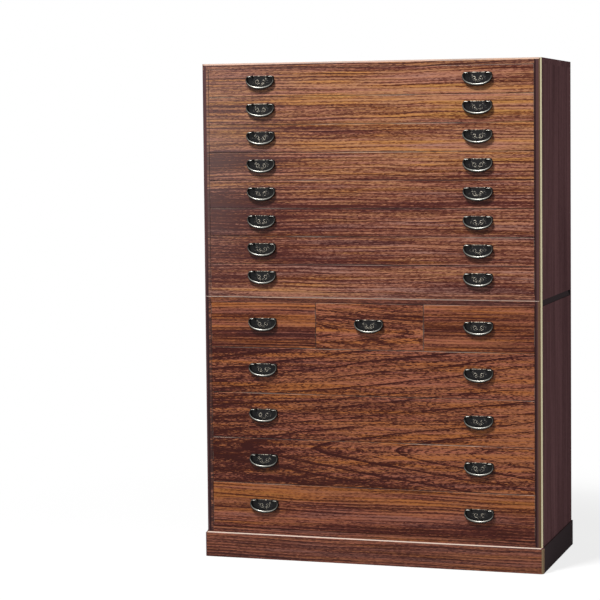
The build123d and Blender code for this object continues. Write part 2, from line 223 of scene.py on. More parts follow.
class Number:
    """A number that varies over a surface. Arithmetic on it adds Math nodes to its finish."""

    def __init__(self, finish, socket):
        self.finish = finish
        self.socket = socket

    def math(self, operation, *others):
        values = dict(enumerate((self, *others)))
        return self.finish.node("ShaderNodeMath", {"operation": operation}, values)

    def __add__(self, other):
        return self.math("ADD", other)

    def __sub__(self, other):
        return self.math("SUBTRACT", other)

    def __mul__(self, other):
        return self.math("MULTIPLY", other)

    def __truediv__(self, other):
        return self.math("DIVIDE", other)

    def __rsub__(self, other):
        return (self * -1) + other

    __radd__ = __add__
    __rmul__ = __mul__

    def absolute(self):
        return self.math("ABSOLUTE")

    def root(self):
        return self.math("SQRT")

    def power(self, exponent):
        return self.math("POWER", exponent)

    def wrapped(self):
        """The part after the decimal point."""
        return self.math("FRACT")

    def highest(self, other):
        return self.math("MAXIMUM", other)

    def within(self, low, high):
        """0 below low, 1 above high, and a smooth step between them."""
        return self.finish.node(
            "ShaderNodeMapRange",
            {"interpolation_type": "SMOOTHSTEP"},
            {"Value": self, "From Min": low, "From Max": high},
        )

    def past(self, edge, step=HAIR):
        """0 up to an edge and 1 from a step beyond it."""
        return self.within(edge, edge + step)

    def before(self, edge, step=HAIR):
        """1 up to an edge and 0 from a step beyond it."""
        return 1 - self.past(edge, step)


class Finish:
    """A material under construction: a Principled surface and the nodes that feed it."""

    def __init__(self, name=None, tree=None):
        if tree is None:
            self.material = bpy.data.materials.new(name)
            self.material.use_nodes = True
            tree = self.material.node_tree
        self.tree = tree
        self.tree.nodes.clear()
        self.tones = bpy.context.scene.chest_finishes

    def node(self, kind, settings, values, output=0):
        """A node of any kind: its settings first, a ramp's stops among them, then its sockets.

        A socket takes a link from a number or a plain value, and a colour's three parts are made opaque.
        """
        made = self.tree.nodes.new(kind)
        for setting, value in settings.items():
            if setting == "stops":
                self.set_stops(made.color_ramp, value)
            else:
                setattr(made, setting, value)
        for socket, value in values.items():
            if isinstance(value, Number):
                self.tree.links.new(value.socket, made.inputs[socket])
            elif made.inputs[socket].type == "RGBA":
                made.inputs[socket].default_value = (*value, 1)
            else:
                made.inputs[socket].default_value = value
        return Number(self, made.outputs[output]) if made.outputs else None

    @staticmethod
    def set_stops(ramp, stops):
        while len(ramp.elements) < len(stops):
            ramp.elements.new(1)
        for element, (position, shade) in zip(ramp.elements, stops):
            element.position = position
            element.color = (*shade, 1)

    def place(self):
        """The three coordinates of a point on the piece, in metres."""
        coordinates = self.node("ShaderNodeTexCoord", {}, {}, "Object")
        return [self.node("ShaderNodeSeparateXYZ", {}, {"Vector": coordinates}, axis) for axis in range(3)]

    def noise(self, x, y, z, detail, roughness=0.5):
        """Smooth noise, 0 to 1, over three coordinates that are already scaled."""
        vector = self.node("ShaderNodeCombineXYZ", {}, {0: x, 1: y, 2: z})
        values = {"Vector": vector, "Scale": 1.0, "Detail": detail, "Roughness": roughness}
        return self.node("ShaderNodeTexNoise", {"noise_dimensions": "3D"}, values)

    def mix(self, factor, low, high, blend="MIX"):
        """A colour between two others, or one laid over the other."""
        settings = {"data_type": "RGBA", "blend_type": blend, "clamp_factor": True}
        return self.node("ShaderNodeMix", settings, {0: factor, 6: low, 7: high}, 2)

    def flecks(self, x, y, z):
        """A random number for each cell of an uneven honeycomb over scaled coordinates."""
        vector = self.node("ShaderNodeCombineXYZ", {}, {0: x, 1: y, 2: z})
        settings = {"voronoi_dimensions": "3D", "feature": "F1"}
        return self.node("ShaderNodeTexVoronoi", settings, {"Vector": vector, "Scale": 1.0}, "Color")

    def ramp(self, number, stops):
        """A colour that runs through the stops as a number runs from 0 to 1."""
        return self.node("ShaderNodeValToRGB", {"stops": stops}, {"Fac": number})

    def profile(self, number, stops):
        """A number that follows stops of place and value, with places in the first number's unit."""
        low, high = stops[0][0], stops[-1][0]
        shades = [((place - low) / (high - low), (value, value, value)) for place, value in stops]
        return self.ramp((number - low) / (high - low), shades)

    def fall(self, number):
        """1 where a number is 0, falling off as a bell curve does with its square."""
        return self.node("ShaderNodeMath", {"operation": "EXPONENT"}, {0: number * -1})

    def surface(self, **sockets):
        """Ends the finish in a Principled surface, whose sockets are named with low lines for spaces."""
        values = {name.replace("_", " "): value for name, value in sockets.items()}
        shader = self.node("ShaderNodeBsdfPrincipled", {}, values)
        self.node("ShaderNodeOutputMaterial", {}, {"Surface": shader})
        return self.material

    def bump(self, height, distance, strength):
        """A normal that follows a height from 0 to 1 over that distance."""
        values = {"Strength": strength, "Distance": distance, "Height": height}
        return self.node("ShaderNodeBump", {}, values)


# ---- wood


RING = 9.5 * MM         # one year's growth in most of the boards
WAVE = 1.7, 4.5, 0.05   # slow waving of the rings: waves a metre along and across, and their reach
RIPPLE = 11, 30, 0.007  # the same for their fast unevenness
FINE_LINES = 2.7        # finer growth lines in a ring of the usual width
STREAK_LAYERS = 2.2     # layers of streaks in such a ring
LEVEL_STREAKS = 230     # layers of streaks in a metre where they lie level
BANDS = 1.3, 18         # broad bands in a metre along the board and across it
PORES = 120, 680        # pores in a metre along the board and across it
BODY = 0.79             # lightness between the growth lines
FINE_DARKNESS = 0.42    # how dark the finer growth lines are
STAINED = 0.12, 0.5, 0.92   # lightness at which the stain is dark, middle and light
BOARD_SHEEN = 0.07      # how much painted sheen greys the boards between the drawer fronts
EDGE_SHEEN = 0.12       # and the side panels' front edges
SATIN = 0.32            # roughness of the stained fronts
DULL = 0.5              # roughness of the dark sides
DRIFTS = 2.2, 60        # drifts of hue in a metre along the board and across it
HUES = [                # what the stain is multiplied by, from its bluest drifts to its yellowest
    (0.20, (0.84, 0.86, 1.25)),
    (0.38, (1.05, 0.92, 1.04)),
    (0.52, (1.03, 1.00, 0.94)),
    (0.66, (1.15, 1.02, 0.66)),
    (0.84, (1.08, 1.06, 0.60)),
]


class Figure:
    """How a board was cut from its tree, and where its tone leaves the even."""

    soft = 0.04         # how deep the pith line lies, which rounds the tips of the figure
    taper = 0.0         # how much wider the rings grow per metre along the board
    ring = RING         # thickness of one year's growth
    sharp = 3.0         # how thin the growth lines are
    lines = 0.65        # how dark they are
    wander = 0.7        # how far the rings wave
    speckle = 1.0       # how strong the pores are
    streaks = 2.4       # how strong the streaks between the growth lines are
    run = 2.0           # how many of those streaks follow each other in a metre
    straight = 0.0      # how far they leave the rings and lie level instead
    bands = 1.8         # how strong the broad bands are
    lean = 0.0          # how much lighter each metre along the board is
    levels = ()         # stops of height and lightness, 0.5 for the body's own
    hues = ()           # stops of height and hue, under 0.5 for redder and over for yellower
    patches = ()        # middle along and up, half sizes, and how much lighter
    painted_sheens = ()         # middle along and up, half sizes, and how strong the painted sheen is
    seed = 0.0          # which board it is

    def __init__(self, pith, **own):
        """The pith line's height, or its place across an upright board, and what this board changes."""
        self.pith = pith
        vars(self).update(own)


UPPER_FIGURE = Figure(
    pith=-0.5, sharp=4.0, lines=0.95, speckle=0.8, streaks=2.7, seed=1.0,
    hues=[(0.768, 0.36), (1.0, 0.37), (1.12, 0.48), (1.24, 0.55), (1.36, 0.54), (1.443, 0.44)],
    levels=[
        (0.768, 0.5), (0.84, 0.5), (0.865, 0.36), (0.89, 0.52), (0.99, 0.56), (1.03, 0.42), (1.07, 0.44),
        (1.1, 0.62), (1.16, 0.54), (1.22, 0.72), (1.3, 0.52), (1.355, 0.72), (1.4, 0.56), (1.443, 0.52),
    ],
    patches=[
        (-0.44, 1.3, 0.07, 0.035, -0.2), (-0.42, 1.17, 0.09, 0.03, -0.22), (-0.4, 1.235, 0.08, 0.014, 0.2),
        (-0.46, 1.4, 0.22, 0.05, 0.08), (-0.48, 1.02, 0.26, 0.22, -0.52), (0.46, 1.41, 0.25, 0.06, -0.22),
    ],
    # painted sheen of a lamp's reflection over the upper left
    painted_sheens=[(-0.5, 1.4, 0.3, 0.1, 0.12), (-0.5, 1.2, 0.2, 0.14, 0.2), (-0.5, 0.98, 0.14, 0.14, 0.12)],
)
LOWER_FIGURE = Figure(
    pith=0.33, soft=0.022, taper=0.125, ring=30 * MM, sharp=9.0, lines=1.7, wander=0.8, speckle=1.2,
    streaks=2.6, run=3.0, straight=0.7, bands=1.2, lean=0.42, seed=2.0,
    hues=[(0.22, 0.46), (0.34, 0.54), (0.63, 0.46)],
    levels=[
        (0.22, 0.38), (0.27, 0.3), (0.31, 0.4), (0.4, 0.5),
        (0.47, 0.47), (0.57, 0.5), (0.605, 0.34), (0.63, 0.38),
    ],
    patches=[(-0.44, 0.465, 0.07, 0.018, -0.25), (-0.47, 0.29, 0.22, 0.06, -0.2)],
)
BOTTOM_FIGURE = Figure(
    pith=-0.3, speckle=0.6, lean=0.2, seed=3.5,
    hues=[(0.07, 0.4), (0.15, 0.44), (0.19, 0.62), (0.225, 0.56)],
    levels=[(0.07, 0.42), (0.13, 0.42), (0.16, 0.52), (0.19, 0.84), (0.215, 0.74), (0.225, 0.44)],
)
BOARD_FIGURE = Figure(
    pith=0.3, ring=8.5 * MM, wander=0.5, speckle=0.5, streaks=1.6, bands=1.0, lean=-0.12, seed=12.0,
    hues=[(0, 0.4), (1, 0.4)],
)
SMALL_FIGURES = (
    Figure(pith=0.3, ring=8.5 * MM, wander=0.5, speckle=0.5, levels=[(0.62, 0.56), (0.75, 0.56)], seed=5.0),
    Figure(
        pith=0.672, soft=0.03, taper=-0.1, ring=11 * MM, speckle=0.9, streaks=2.9, run=4.0, straight=0.5,
        levels=[(0.62, 0.53), (0.75, 0.53)], seed=6.0,
    ),
    Figure(
        pith=0.2, ring=8.5 * MM, wander=0.5, speckle=0.5, levels=[(0.62, 0.62), (0.75, 0.62)],
        patches=[(0.33, 0.715, 0.2, 0.01, -0.3)], seed=7.0,
    ),
)
SIDE_FIGURE = Figure(pith=1.0, wander=0.6, speckle=0.5, seed=4.0)
OUTER_FIGURE = Figure(pith=1.0, seed=4.0)   # the boards' outer ends and the top
PLAIN_FIGURE = Figure(pith=-0.4, ring=6 * MM, speckle=0.5, seed=21.0)


def growth(finish, figure, along, across, depth):
    """How many rings lie between a point and the pith.

    The distance from the pith line, less a share of the length, so that each ring makes a long arch
    with its tip over the pith. Slow noise drawn out along the grain makes the rings wave, and faster
    noise makes them uneven.
    """
    sideways = across - figure.pith
    under = depth + figure.soft
    distance = (sideways * sideways + under * under).root() - along * figure.taper
    for long, wide, reach in (WAVE, RIPPLE):
        wave = finish.noise(along * long, across * wide, depth * wide + figure.seed, 2.0) - 0.5
        distance = distance + wave * (figure.wander * reach)
    return distance / figure.ring


def lightness(finish, figure, along, across, depth):
    """How light a board is at a point, mostly 0 to 1, and its pores alone.

    Sharp growth lines, which fade to a fifth in places, with finer ones between them, streaks that follow
    the rings or lie level, broad bands, short dark pores, and the levels and patches of the figure.
    """
    rings = growth(finish, figure, along, across, depth)
    per_ring = figure.ring / RING
    beside = across * 6 + figure.seed
    uneven = finish.noise(along * 0.8, rings * 0.5, beside, 2.0)
    present = finish.noise(along * 2.2, rings * 0.9, beside + 3.1, 2.0).within(0.28, 0.62)
    line = (rings + uneven).wrapped().power(figure.sharp) * (present * 0.8 + 0.2)
    fine = (rings * (FINE_LINES * per_ring) + uneven * 3).wrapped().power(2.0)
    ringed, level = STREAK_LAYERS * per_ring * (1 - figure.straight), LEVEL_STREAKS * figure.straight
    streak = finish.noise(along * figure.run, rings * ringed + across * level, beside + 5.7, 3.0, 0.8) - 0.5
    band = finish.noise(along * BANDS[0], across * BANDS[1], figure.seed + 8.3, 3.0, 0.55) - 0.5
    pores = finish.flecks(along * PORES[0], across * PORES[1], depth * PORES[1] + figure.seed)
    light = streak * figure.streaks + band * figure.bands + (pores - 0.5) * (figure.speckle * 1.1) + BODY
    light = light - line * figure.lines - fine * FINE_DARKNESS + along * figure.lean
    if figure.levels:
        light = light + finish.profile(across, figure.levels) - 0.5
    light = light + spots(finish, figure.patches, along, across)
    return light, pores


def spots(finish, places, along, across):
    """The sum of soft ovals, each given as its middle along and up, its half sizes and its amount."""
    total = 0.0
    for middle_along, middle_up, half_long, half_high, amount in places:
        beside, above = (along - middle_along) / half_long, (across - middle_up) / half_high
        total = finish.fall(beside * beside + above * above) * amount + total
    return total


def two_tone(finish, figure, dark, light, along, across, depth):
    """A board's figure between a dark colour and a light one, and the board's pores."""
    lit, pores = lightness(finish, figure, along, across, depth)
    return finish.ramp(lit, [(0, dark), (1, light)]), pores


def plain_colour(finish, along, across, depth):
    """Bare wood, pale with faint growth lines."""
    tones = finish.tones
    return two_tone(finish, PLAIN_FIGURE, tones.plain_dark, tones.plain_light, along, across, depth)[0]


def front_stain(finish, figure, colours, x, z, depth):
    """The satin stain of the fronts over a board's figure, with drifts of hue and painted sheen, and the
    board's pores.

    The colours are dark, middle and light.
    """
    light, pores = lightness(finish, figure, x, z, depth)
    stained = finish.ramp(light, list(zip(STAINED, colours)))
    hue = finish.noise(x * DRIFTS[0], z * DRIFTS[1], figure.seed + 15.0, 3.0, 0.65) - 0.5
    hue = hue * 1.6 + 0.5
    if figure.hues:
        hue = hue + finish.profile(z, figure.hues) - 0.5
    stained = finish.mix(1.0, stained, finish.ramp(hue, HUES), "MULTIPLY")
    if figure.painted_sheens:
        stained = finish.mix(spots(finish, figure.painted_sheens, x, z), stained, finish.tones.painted_sheen)
    return stained, pores


def front_finish(name, figure, colours, with_handles=False):
    """The satin stain of the drawer fronts and the boards between them, with plain wood behind it."""
    finish = Finish(name)
    x, y, z = finish.place()
    depth = y - FRONT_FACE
    stained, pores = front_stain(finish, figure, colours, x, z, depth)
    # The boards take no specular, so a little painted sheen greys them.
    if not with_handles:
        stained = finish.mix(BOARD_SHEEN, stained, finish.tones.painted_sheen)
    inside = depth.past(STAIN_DEPTH)
    shade = finish.mix(inside, stained, plain_colour(finish, x, z, depth))
    metal = 0.0
    if with_handles:
        metal = depth.before(-2 * HAIR)
        shade = drawer_edges(finish, figure, shade, metal, x, z, depth)
    else:
        shade = board_edges(finish, stained, shade, x, y, z)
    return finish.surface(
        Base_Color=shade,
        Roughness=inside * 0.25 + SATIN + pores * 0.16,
        Metallic=metal,
        Specular_IOR_Level=0.15 if with_handles else 0.0,
        Normal=finish.bump(pores, 0.12 * MM, 0.5),
    )


def drawer_edges(finish, figure, shade, metal, x, z, depth):
    """Lays over a drawer front's colour its pale bevel, part uneven wear and part painted highlight, and
    the black of the metal on it.
    """
    # The pale bevel round the front: uneven wear, and painted highlight that also evens out the dark gaps
    # between the fronts.
    rubbed_and_highlit = depth.past(HAIR) * depth.before(DRAWER_BEVEL)
    worn = finish.noise(x * 2.5, z * 20, figure.seed + 31.0, 2.0).within(0.5, 0.6) * 0.6 + 0.1
    shade = finish.mix(rubbed_and_highlit * worn, shade, finish.tones.rubbed_and_highlit)
    return finish.mix(metal, shade, finish.tones.black)


def board_edges(finish, stained, shade, x, y, z):
    """Lays over a board's colour the sides' stain, the front edges' stain and painted shade, and the edges'
    painted highlights.
    """
    outer = (x.absolute() - OUTSIDE).past(-3 * HAIR).highest((z - TOP).past(-3 * HAIR))
    dark = two_tone(finish, OUTER_FIGURE, finish.tones.side_dark, finish.tones.side_light, x, y, z)[0]
    shade = finish.mix(outer, shade, dark)
    stile = (x.absolute() - OUTSIDE + PANEL).past(0, 2 * HAIR) * (z - CASE_JOINT).past(0)
    stile = stile * (y - FRONT_FACE).before(HAIR, 2 * HAIR)
    shade = finish.mix(stile, shade, edge_colour(finish, stained, x, z))
    return painted_edge_highlights(finish, shade, x, y, z)


def painted_edge_highlights(finish, shade, x, y, z):
    """Lays pale painted highlights on the broken edges: the top, the joint, the plinth and the right-hand
    corner.

    Each edge's bevel lies where its distances from the two faces add up to the bevel's size.
    """
    tones = finish.tones
    ahead = (y - FRONT_FACE).absolute()
    under_joint = (z - CASE_JOINT).before(0)
    plinth_upper = (z - PLINTH_TOP).past(-2.9 * MM, 0.6 * MM)
    edges = (   # the sum of those distances, the bevel's size and how strong its painted highlight is
        ((z - TOP).absolute() + ahead, TOP_BEVEL, 0.5),
        ((z - CASE_JOINT).absolute() + ahead, JOINT_BEVEL, under_joint * 0.7),
        ((z - PLINTH_TOP).absolute() + (y - PLINTH_FACE).absolute(), PLINTH_BEVEL, plinth_upper),
    )
    # Painted highlight where light catches the bevels of the top, the joint and the plinth.
    for away, bevel, strength in edges:
        shade = finish.mix(away.before(bevel + ROOM, ROOM) * strength, shade, tones.rubbed_and_highlit)
    above = (z - PLINTH_TOP).past(-HAIR, 2 * HAIR)
    # Painted highlight: a dim band that widens the right-hand corner's highlight on the front of the lower
    # case.
    beside = (x - OUTSIDE).past(-12 * MM, 1.5 * MM) * ahead.before(HAIR, 2 * HAIR)
    beside = beside * above * (z - CASE_JOINT).before(-HAIR) * 0.6
    shade = finish.mix(beside, shade, tones.arris_dim_highlight)
    # Painted highlight down the right-hand front corner, pale outside and dim olive inside.
    corner = ((x - OUTSIDE).absolute() + ahead).before(CORNER_BEVEL + ROOM, ROOM)
    outer = (x - OUTSIDE).past(-4.2 * MM, 0.6 * MM)
    shade = finish.mix(corner * above, shade, finish.mix(outer, tones.arris_dim_highlight, tones.arris_highlight))
    # Painted highlight: a dim band down the plinth's right-hand front corner.
    end = (x - PLINTH_END).past(-6 * MM, 2 * MM) * (y - PLINTH_FACE).before(14 * MM, 2 * MM)
    end = end * (z - PLINTH_TOP).before(-PLINTH_BEVEL, 1 * MM)
    return finish.mix(end, shade, finish.mix(0.15, tones.arris_dim_highlight, tones.arris_highlight))


def edge_colour(finish, beside, x, z):
    """The stain of the side panels' front edges.

    A darker line of painted shade runs down them: along the inside of the right one, beside the gap by the
    drawers, and along the outside of the left one, which darkens all over low down. The inner part of the
    left one is stained like the drawer fronts beside it.
    """
    from_outside = OUTSIDE - x.absolute()
    right = x.past(-1 * MM, 2 * MM)
    low = (z - CASE_JOINT).before(-0.1, 0.45)
    left = from_outside.before(2 * MM, 3 * MM).highest(low)
    # Painted shade: the darker line down each front edge.
    dark = from_outside.past(14 * MM, 1.5 * MM) * right + left * (1 - right)
    shade = finish.mix(dark, finish.tones.edge, finish.tones.edge_shade)
    return finish.mix(from_outside.past(12.5 * MM, 1 * MM) * (1 - right), shade, beside)


def side_finish(name, figure, colours):
    """The dark stain of the side panels, painted shade on the plinth's sides and in the finger recesses,
    and plain wood inside the cases.

    The figure and the colours are those of the drawer fronts beside the panels' front edges.
    """
    finish = Finish(name)
    x, y, z = finish.place()
    depth = y - FRONT_FACE
    from_outside = OUTSIDE - x.absolute()
    tones = finish.tones
    stained, pores = two_tone(finish, SIDE_FIGURE, tones.side_dark, tones.side_light, z, y, x)
    # A little painted sheen greys the fronts' stain where it runs onto the front edges.
    beside = finish.mix(EDGE_SHEEN, front_stain(finish, figure, colours, x, z, depth)[0], tones.painted_sheen)
    stained = finish.mix(depth.before(HAIR, 2 * HAIR), stained, edge_colour(finish, beside, x, z))
    # Painted shade: near-black in the finger recesses and on the plinth's sides.
    recess = from_outside.past(4 * HAIR) * from_outside.before(RECESS_DEPTH)
    recess = recess * (z - CASE_JOINT).past(-RECESS_HEIGHT) * (z - CASE_JOINT).before(0)
    recess = recess * depth.past(RECESS_START, 2 * HAIR)
    plinth = (z - PLINTH_TOP).before(-HAIR, 2 * HAIR)
    stained = finish.mix(recess.highest(plinth), stained, tones.shadow)
    inner = from_outside.past(STAIN_DEPTH, 2 * HAIR) * depth.past(PANEL, 2 * HAIR)
    shade = finish.mix(inner, stained, plain_colour(finish, z, y, x))
    return finish.surface(
        Base_Color=painted_edge_highlights(finish, shade, x, y, z),
        Roughness=inner * 0.15 + DULL,
        Specular_IOR_Level=0.0,
        Normal=finish.bump(pores, 0.1 * MM, 0.4),
    )


def plain_finish():
    """Bare wood for what lies inside the cases and at their backs."""
    finish = Finish("plain_wood")
    x, y, z = finish.place()
    return finish.surface(
        Base_Color=plain_colour(finish, x, y + z, y), Roughness=0.6, Specular_IOR_Level=0.3
    )


# ---- metal


def bail_finish():
    """Cast white metal under a dark patina, bright where fingers and clothes rub it and where a painted
    highlight lies.
    """
    if "cast_metal" in bpy.data.materials:
        return bpy.data.materials["cast_metal"]
    finish = Finish("cast_metal")
    x, y, z = finish.place()
    # Bright metal where the piece's measure says: part wear, part painted highlight.
    worn = finish.node("ShaderNodeAttribute", {"attribute_name": "worn"}, {}, "Fac")
    patina = finish.noise(x * 160, y * 160, z * 160, 4.0, 0.6)
    bright = (worn + (patina - 0.5) * 0.8).within(0.1, 0.9)
    shade = finish.mix(bright, finish.tones.patina, finish.tones.silver)
    return finish.surface(
        Base_Color=shade,
        Metallic=1.0,
        Roughness=0.4 - bright * 0.08,
        Normal=finish.bump(patina, 0.1 * MM, 0.3),
    )


def plate_finish():
    """Blackened metal whose raised scrolls keep a little worn gilding."""
    finish = Finish("plate_metal")
    x, y, z = finish.place()
    kept = finish.node("ShaderNodeAttribute", {"attribute_name": "gilding"}, {}, "Fac")
    patina = finish.noise(x * 230, y * 230, z * 230, 3.0, 0.6)
    gilt = (kept + (patina - 0.5) * 2.2).within(0.35, 0.8) * kept.within(0.1, 0.3)
    shade = finish.mix(gilt * 0.62, finish.tones.black, finish.tones.gilt)
    return finish.surface(
        Base_Color=shade,
        Metallic=gilt * 0.6,
        Specular_IOR_Level=0.2,
        Roughness=patina * 0.2 + 0.35,
        Normal=finish.bump(finish.noise(x * 900, y * 900, z * 900, 2.0), 0.12 * MM, 0.5),
    )


# ---- surfaces


def grid_quads(rows, columns, closed=False):
    """Quads between neighbouring points of a grid. A closed grid joins its last column to its first."""
    index = np.arange(rows * columns).reshape(rows, columns)
    if closed:
        index = np.hstack([index, index[:, :1]])
    corners = [index[:-1, :-1], index[:-1, 1:], index[1:, 1:], index[1:, :-1]]
    return np.stack(corners, axis=-1).reshape(-1, 4)


def tube_faces(rows, columns):
    """Quads round a closed grid whose rows are rings, and one face over each of its two ends."""
    start = np.arange(columns)
    end = start + (rows - 1) * columns
    return grid_quads(rows, columns, closed=True).tolist() + [start.tolist(), end[::-1].tolist()]


def add_object(name, data):
    """An object with its data, put into the scene."""
    made = bpy.data.objects.new(name, data)
    bpy.context.scene.collection.objects.link(made)
    return made


def add_piece(name, points, faces, finish, body, measure, values):
    """A smooth mesh from points in millimetres that are already in place, riding on a body.

    Its finish reads the measure, which has a value for each point, by its name.
    """
    mesh = bpy.data.meshes.new(name)
    mesh.from_pydata((points * MM).tolist(), [], faces)
    mesh.shade_smooth()
    mesh.set_sharp_from_angle(angle=radians(40))
    attribute = mesh.attributes.new(measure, "FLOAT", "POINT")
    attribute.data.foreach_set("value", values.ravel().astype(np.float32))
    mesh.materials.append(finish)
    piece = add_object(name, mesh)
    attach(piece, body)
    return piece


class Handle:
    """The places of one handle, in millimetres, worked out from its bail node."""

    def __init__(self, node):
        sizes = bpy.context.scene.chest_handles
        low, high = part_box(node)
        self.node = node
        self.drawer = node.split("_bail")[0]
        self.origin = np.array([(low.x + high.x) / 2, FRONT_FACE, low.z + sizes.bail_drop]) / MM

    def placed(self, x, y, z):
        """Points given across, out of the drawer front and up from the bail's widest line."""
        return np.stack([x, -y, z], axis=-1).reshape(-1, 3) + self.origin


PIN_RINGS, SHOULDER_RINGS, TURN_RINGS, CRESCENT_RINGS = 4, 8, 20, 43    # rings along half a bail
PIN_START = 1.6     # how far the pin reaches in from the middle of its post, in millimetres
PIN_END = 0.2       # how far it stops short of the outer side of the post's cap
SHOULDER = 1.3      # length of the swelling between pin and arm
BAIL_SECTION = 0.8  # power of the cosine in the bail's section, under 1 for a squarer oval
CAP_SECTION = 0.55  # the same for the caps' outline
HIGHLIGHT_TURN = 0.43    # how far the bright line, a painted highlight, turns up from the front, in radians


def bail_path(sizes):
    """The two edges of the bail and its half thickness at each ring, in millimetres, pin to pin.

    Each edge runs in along the right pin, round a quarter of an oval turn, down half an ellipse to the
    lowest point, and back the same way on the left. Between pin and arm the width and the thickness
    swell as a sine does.
    """
    half, depth, post = sizes.bail_width / MM / 2, sizes.bail_depth / MM / 2, sizes.post_spacing / MM / 2
    rise, drop, turn = sizes.bail_rise / MM, sizes.bail_drop / MM, sizes.bail_turn / MM
    arm, grip, pin, cap = sizes.arm / MM, sizes.grip / MM, sizes.pin / MM, sizes.cap_width / MM
    pivot = rise - arm / 2
    swell = np.linspace(0, np.pi / 2, SHOULDER_RINGS)
    angle = np.linspace(np.pi / 2, 0, TURN_RINGS)
    lower = np.linspace(0, -np.pi / 2, CRESCENT_RINGS + 1)[1:]
    pin_x = np.linspace(post - PIN_START, post + cap - PIN_END, PIN_RINGS)
    arm_x = np.concatenate([pin_x, pin_x[-1] + (1 - np.cos(swell)) * SHOULDER])
    width = np.concatenate([np.full(PIN_RINGS, pin), pin + np.sin(swell) * (arm / 2 - pin)])
    even = np.full(TURN_RINGS + CRESCENT_RINGS, depth)
    thick = np.concatenate([np.full(PIN_RINGS, pin), pin + np.sin(swell) * (depth - pin), even])

    def edge(way, arm, grip):
        right = np.concatenate([
            np.stack([arm_x, pivot + way * width], -1),
            np.stack([half - turn + (turn - arm) * np.cos(angle), (rise - arm) * np.sin(angle)], -1),
            np.stack([(half - arm) * np.cos(lower), (drop - grip) * np.sin(lower)], -1),
        ])
        return np.concatenate([right, right[-2::-1] * [-1.0, 1.0]])

    return edge(1, 0, 0), edge(-1, arm, grip), np.concatenate([thick, thick[-2::-1]])


def bail_surface(sizes, around=20):
    """The bail as a ring of points carried along a crescent, and how much bright metal it shows at each.

    The ring is an oval that spans the inside and the outside of the crescent. Its bright metal, part wear
    and part painted highlight, runs along its front, a little to the side that faces up, on the grip and
    at the arms' ends.
    """
    outside, inside, thick = bail_path(sizes)
    drop, post = sizes.bail_drop / MM, sizes.post_spacing / MM / 2
    turned = np.linspace(0, 2 * np.pi, around, endpoint=False)
    blend = (1 + np.sign(np.cos(turned)) * np.abs(np.cos(turned)) ** BAIL_SECTION) / 2
    plan = inside[:, None, :] + (outside - inside)[:, None, :] * blend[None, :, None]
    out = sizes.standoff / MM + thick[:, None] * np.sin(turned)[None, :]
    # Bright metal along the front, turned up to the light as painted highlight, more low down and at the
    # arms.
    down = np.clip(0.45 - plan[..., 1] / drop * 0.9, 0, 1)
    facing = np.pi / 2 - HIGHLIGHT_TURN * np.clip((inside + outside)[:, 1:] / 16, -1, 1)
    forward = np.clip(np.cos(turned - facing) * 3.4 - 2.4, 0, 1)
    arms = np.clip(1.5 - (np.abs(plan[..., 0]) - post) / 14, 0, 1) * (plan[..., 1] > 0)
    return plan[..., 0], out, plan[..., 1], forward * np.maximum(down, arms)


def plate_outline(sizes, x):
    """Heights of the plate's upper and lower edges.

    The upper one is level and turns down in a quarter circle at each corner. The lower one is half an
    ellipse.
    """
    half = sizes.plate_width / MM / 2
    corner = sizes.plate_corner / MM
    top = (sizes.bail_rise - sizes.arm / 2 + sizes.plate_top) / MM
    into = np.clip((np.abs(x) - (half - corner)) / corner, 0, 1)
    upper = top - corner * (1 - np.sqrt(1 - into ** 2 * 0.999))
    lower = -sizes.plate_drop / MM * np.sqrt(np.clip(1 - (x / half) ** 2, 0, None))
    return upper, lower


def spiral(centre, outer, inner, turns, start, way=1):
    """Points of a spiral whose radius goes evenly from an outer to an inner one as it turns."""
    along = np.linspace(0, 1, int(60 * turns))
    angle = start + way * along * turns * 2 * np.pi
    radius = outer + (inner - outer) * along
    return np.stack([centre[0] + radius * np.cos(angle), centre[1] + radius * np.sin(angle)], -1)


SCROLLS = (     # the stems of the ornament on the right half of the plate, in millimetres across and up
    spiral((9.0, -4.0), 7.4, 2.2, 1.15, -2.6),
    spiral((22.0, -6.0), 4.4, 1.4, 0.95, 2.2, -1),
    spiral((4.0, -13.0), 4.0, 1.2, 0.95, 1.2),
    spiral((17.0, 3.4), 3.4, 1.0, 0.95, -0.8, -1),
)
STEM = 0.85     # how far from a stem's middle its height has fallen to about a third, in millimetres


def scroll_relief(x, z):
    """How high the ornament stands, 0 to 1: a bell curve of the distance from the nearest stem."""
    nearest = np.full(x.shape, np.inf)
    for line in SCROLLS:
        for side in (1, -1):
            away = np.hypot(x[..., None] - line[:, 0] * side, z[..., None] - line[:, 1])
            nearest = np.minimum(nearest, away.min(axis=-1))
    return np.exp(-(nearest / STEM) ** 2)


